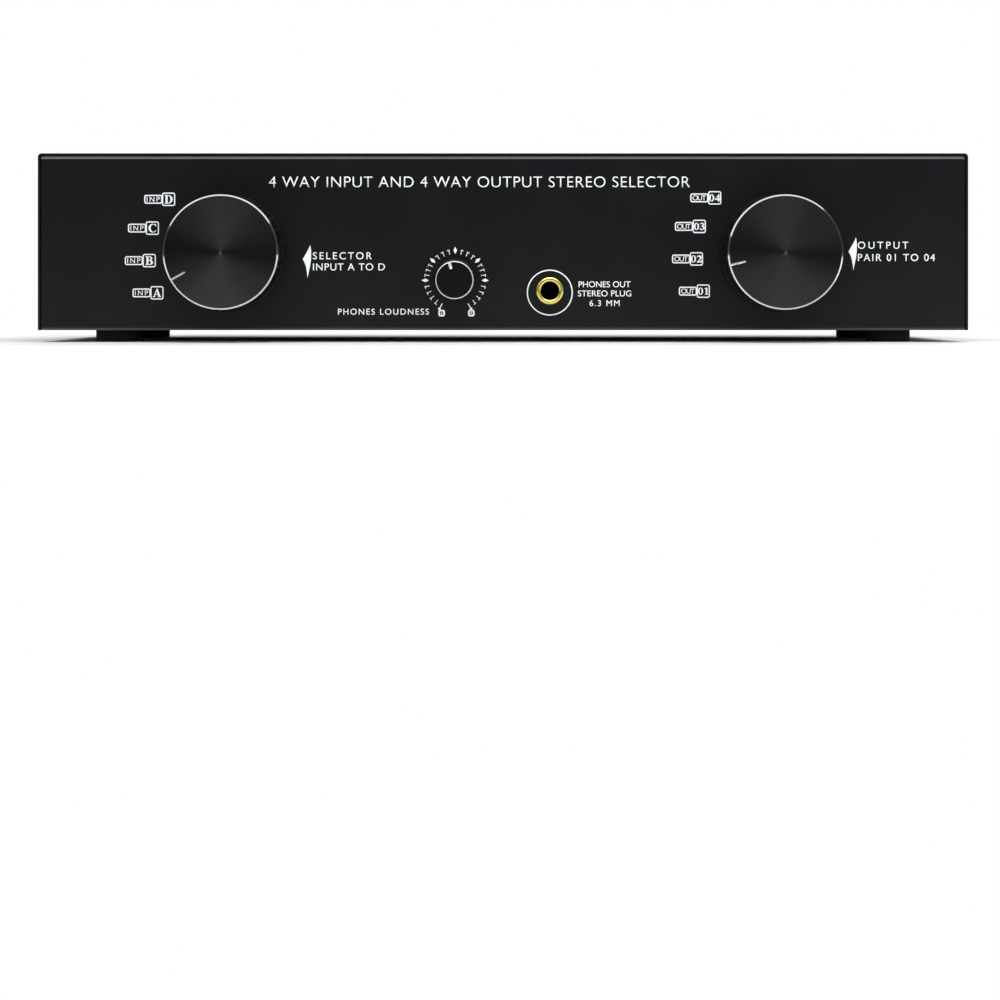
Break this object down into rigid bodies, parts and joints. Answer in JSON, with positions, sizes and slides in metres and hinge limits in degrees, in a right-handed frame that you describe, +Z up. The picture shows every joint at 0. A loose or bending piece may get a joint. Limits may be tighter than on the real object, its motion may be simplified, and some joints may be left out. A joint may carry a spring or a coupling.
{
  "type": "speaker selector switch",
  "caption": "Flat black steel box that links a chosen amplifier to a chosen pair of speakers: selector knobs, a volume knob and a phone socket in front, grooved binding posts behind.",
  "frame": {"origin": "on the surface that the feet stand on, under the centre of the bounding box", "axes": "+Z up, front panel faces -Y, +X to the right as seen from the front"},
  "size_m": [0.326, 0.1676, 0.0676],
  "materials": {
    "powder_coat": "fine satin black powder coat",
    "foot_rubber": "matt black rubber",
    "black_screw": "black oxide",
    "block_plastic": "moulded black ABS",
    "post_metal": "nickel-plated brass",
    "red_plastic": "moulded red plastic, semi-gloss",
    "black_plastic": "moulded black plastic, semi-gloss",
    "circuit_board": "glass-fibre board, green lacquer",
    "switch_zinc": "zinc-plated die casting",
    "phenolic": "brown phenolic laminate",
    "tinned_brass": "tinned brass",
    "plain_steel": "turned steel",
    "rotor_plastic": "natural nylon",
    "knob_aluminium": "turned aluminium, black anodised, bright cut edges",
    "pot_case": "pressed tinplate",
    "gold_plate": "gold-plated brass",
    "jack_plastic": "moulded black plastic",
    "ceramic": "cement-coated ceramic",
    "wire_jacket": "PVC insulation"
  },
  "bodies": {
    "case": {"chassis_tray": "powder_coat", "top_cover": "powder_coat", "feet": "foot_rubber", "case_screws": "black_screw", "terminal_blocks": "block_plastic", "terminal_stems": "post_metal", "terminal_screws": "black_screw", "terminal_board": "circuit_board", "switch_frames": "switch_zinc", "switch_wafers": "phenolic", "switch_lugs": "tinned_brass", "switch_stack_screws": "plain_steel", "panel_nuts": "plain_steel", "volume_pot": "pot_case", "jack_sleeve": "gold_plate", "phone_jack": "jack_plastic", "jack_contacts": "tinned_brass", "phones_board": "circuit_board", "resistors": "ceramic", "bus_wires": "wire_jacket"},
    "input_selector": {"input_knob": "knob_aluminium", "input_shaft": "plain_steel", "input_rotors": "rotor_plastic"},
    "output_selector": {"output_knob": "knob_aluminium", "output_shaft": "plain_steel", "output_rotors": "rotor_plastic"},
    "volume_control": {"volume_knob": "knob_aluminium", "volume_shaft": "plain_steel"},
    "black_cap_in_a_left": {"black_cap_in_a_left": "black_plastic"},
    "red_cap_in_a_left": {"red_cap_in_a_left": "red_plastic"},
    "black_cap_in_a_right": {"black_cap_in_a_right": "black_plastic"},
    "red_cap_in_a_right": {"red_cap_in_a_right": "red_plastic"},
    "black_cap_in_b_left": {"black_cap_in_b_left": "black_plastic"},
    "red_cap_in_b_left": {"red_cap_in_b_left": "red_plastic"},
    "black_cap_in_b_right": {"black_cap_in_b_right": "black_plastic"},
    "red_cap_in_b_right": {"red_cap_in_b_right": "red_plastic"},
    "black_cap_in_c_left": {"black_cap_in_c_left": "black_plastic"},
    "red_cap_in_c_left": {"red_cap_in_c_left": "red_plastic"},
    "black_cap_in_c_right": {"black_cap_in_c_right": "black_plastic"},
    "red_cap_in_c_right": {"red_cap_in_c_right": "red_plastic"},
    "black_cap_in_d_left": {"black_cap_in_d_left": "black_plastic"},
    "red_cap_in_d_left": {"red_cap_in_d_left": "red_plastic"},
    "black_cap_in_d_right": {"black_cap_in_d_right": "black_plastic"},
    "red_cap_in_d_right": {"red_cap_in_d_right": "red_plastic"},
    "black_cap_out_1_left": {"black_cap_out_1_left": "black_plastic"},
    "red_cap_out_1_left": {"red_cap_out_1_left": "red_plastic"},
    "black_cap_out_1_right": {"black_cap_out_1_right": "black_plastic"},
    "red_cap_out_1_right": {"red_cap_out_1_right": "red_plastic"},
    "black_cap_out_2_left": {"black_cap_out_2_left": "black_plastic"},
    "red_cap_out_2_left": {"red_cap_out_2_left": "red_plastic"},
    "black_cap_out_2_right": {"black_cap_out_2_right": "black_plastic"},
    "red_cap_out_2_right": {"red_cap_out_2_right": "red_plastic"},
    "black_cap_out_3_left": {"black_cap_out_3_left": "black_plastic"},
    "red_cap_out_3_left": {"red_cap_out_3_left": "red_plastic"},
    "black_cap_out_3_right": {"black_cap_out_3_right": "black_plastic"},
    "red_cap_out_3_right": {"red_cap_out_3_right": "red_plastic"},
    "black_cap_out_4_left": {"black_cap_out_4_left": "black_plastic"},
    "red_cap_out_4_left": {"red_cap_out_4_left": "red_plastic"},
    "black_cap_out_4_right": {"black_cap_out_4_right": "black_plastic"},
    "red_cap_out_4_right": {"red_cap_out_4_right": "red_plastic"}
  },
  "joints": [
    {"name": "input_select", "type": "hinge", "parent": "case", "child": "input_selector", "pos_m": [-0.0965, -0.06145, 0.0312], "axis": [0, 1, 0], "range_deg": [0, 67.5]},
    {"name": "output_select", "type": "hinge", "parent": "case", "child": "output_selector", "pos_m": [0.0965, -0.06145, 0.0312], "axis": [0, 1, 0], "range_deg": [-22.5, 45]},
    {"name": "volume_turn", "type": "hinge", "parent": "case", "child": "volume_control", "pos_m": [-0.01675, -0.06145, 0.0217], "axis": [0, 1, 0], "range_deg": [-134, 166]},
    {"name": "black_cap_in_a_left_unscrew", "type": "slide", "parent": "case", "child": "black_cap_in_a_left", "axis": [0, 1, 0], "range_m": [0, 0.006]},
    {"name": "red_cap_in_a_left_unscrew", "type": "slide", "parent": "case", "child": "red_cap_in_a_left", "axis": [0, 1, 0], "range_m": [0, 0.006]},
    {"name": "black_cap_in_a_right_unscrew", "type": "slide", "parent": "case", "child": "black_cap_in_a_right", "axis": [0, 1, 0], "range_m": [0, 0.006]},
    {"name": "red_cap_in_a_right_unscrew", "type": "slide", "parent": "case", "child": "red_cap_in_a_right", "axis": [0, 1, 0], "range_m": [0, 0.006]},
    {"name": "black_cap_in_b_left_unscrew", "type": "slide", "parent": "case", "child": "black_cap_in_b_left", "axis": [0, 1, 0], "range_m": [0, 0.006]},
    {"name": "red_cap_in_b_left_unscrew", "type": "slide", "parent": "case", "child": "red_cap_in_b_left", "axis": [0, 1, 0], "range_m": [0, 0.006]},
    {"name": "black_cap_in_b_right_unscrew", "type": "slide", "parent": "case", "child": "black_cap_in_b_right", "axis": [0, 1, 0], "range_m": [0, 0.006]},
    {"name": "red_cap_in_b_right_unscrew", "type": "slide", "parent": "case", "child": "red_cap_in_b_right", "axis": [0, 1, 0], "range_m": [0, 0.006]},
    {"name": "black_cap_in_c_left_unscrew", "type": "slide", "parent": "case", "child": "black_cap_in_c_left", "axis": [0, 1, 0], "range_m": [0, 0.006]},
    {"name": "red_cap_in_c_left_unscrew", "type": "slide", "parent": "case", "child": "red_cap_in_c_left", "axis": [0, 1, 0], "range_m": [0, 0.006]},
    {"name": "black_cap_in_c_right_unscrew", "type": "slide", "parent": "case", "child": "black_cap_in_c_right", "axis": [0, 1, 0], "range_m": [0, 0.006]},
    {"name": "red_cap_in_c_right_unscrew", "type": "slide", "parent": "case", "child": "red_cap_in_c_right", "axis": [0, 1, 0], "range_m": [0, 0.006]},
    {"name": "black_cap_in_d_left_unscrew", "type": "slide", "parent": "case", "child": "black_cap_in_d_left", "axis": [0, 1, 0], "range_m": [0, 0.006]},
    {"name": "red_cap_in_d_left_unscrew", "type": "slide", "parent": "case", "child": "red_cap_in_d_left", "axis": [0, 1, 0], "range_m": [0, 0.006]},
    {"name": "black_cap_in_d_right_unscrew", "type": "slide", "parent": "case", "child": "black_cap_in_d_right", "axis": [0, 1, 0], "range_m": [0, 0.006]},
    {"name": "red_cap_in_d_right_unscrew", "type": "slide", "parent": "case", "child": "red_cap_in_d_right", "axis": [0, 1, 0], "range_m": [0, 0.006]},
    {"name": "black_cap_out_1_left_unscrew", "type": "slide", "parent": "case", "child": "black_cap_out_1_left", "axis": [0, 1, 0], "range_m": [0, 0.006]},
    {"name": "red_cap_out_1_left_unscrew", "type": "slide", "parent": "case", "child": "red_cap_out_1_left", "axis": [0, 1, 0], "range_m": [0, 0.006]},
    {"name": "black_cap_out_1_right_unscrew", "type": "slide", "parent": "case", "child": "black_cap_out_1_right", "axis": [0, 1, 0], "range_m": [0, 0.006]},
    {"name": "red_cap_out_1_right_unscrew", "type": "slide", "parent": "case", "child": "red_cap_out_1_right", "axis": [0, 1, 0], "range_m": [0, 0.006]},
    {"name": "black_cap_out_2_left_unscrew", "type": "slide", "parent": "case", "child": "black_cap_out_2_left", "axis": [0, 1, 0], "range_m": [0, 0.006]},
    {"name": "red_cap_out_2_left_unscrew", "type": "slide", "parent": "case", "child": "red_cap_out_2_left", "axis": [0, 1, 0], "range_m": [0, 0.006]},
    {"name": "black_cap_out_2_right_unscrew", "type": "slide", "parent": "case", "child": "black_cap_out_2_right", "axis": [0, 1, 0], "range_m": [0, 0.006]},
    {"name": "red_cap_out_2_right_unscrew", "type": "slide", "parent": "case", "child": "red_cap_out_2_right", "axis": [0, 1, 0], "range_m": [0, 0.006]},
    {"name": "black_cap_out_3_left_unscrew", "type": "slide", "parent": "case", "child": "black_cap_out_3_left", "axis": [0, 1, 0], "range_m": [0, 0.006]},
    {"name": "red_cap_out_3_left_unscrew", "type": "slide", "parent": "case", "child": "red_cap_out_3_left", "axis": [0, 1, 0], "range_m": [0, 0.006]},
    {"name": "black_cap_out_3_right_unscrew", "type": "slide", "parent": "case", "child": "black_cap_out_3_right", "axis": [0, 1, 0], "range_m": [0, 0.006]},
    {"name": "red_cap_out_3_right_unscrew", "type": "slide", "parent": "case", "child": "red_cap_out_3_right", "axis": [0, 1, 0], "range_m": [0, 0.006]},
    {"name": "black_cap_out_4_left_unscrew", "type": "slide", "parent": "case", "child": "black_cap_out_4_left", "axis": [0, 1, 0], "range_m": [0, 0.006]},
    {"name": "red_cap_out_4_left_unscrew", "type": "slide", "parent": "case", "child": "red_cap_out_4_left", "axis": [0, 1, 0], "range_m": [0, 0.006]},
    {"name": "black_cap_out_4_right_unscrew", "type": "slide", "parent": "case", "child": "black_cap_out_4_right", "axis": [0, 1, 0], "range_m": [0, 0.006]},
    {"name": "red_cap_out_4_right_unscrew", "type": "slide", "parent": "case", "child": "red_cap_out_4_right", "axis": [0, 1, 0], "range_m": [0, 0.006]}
  ]
}
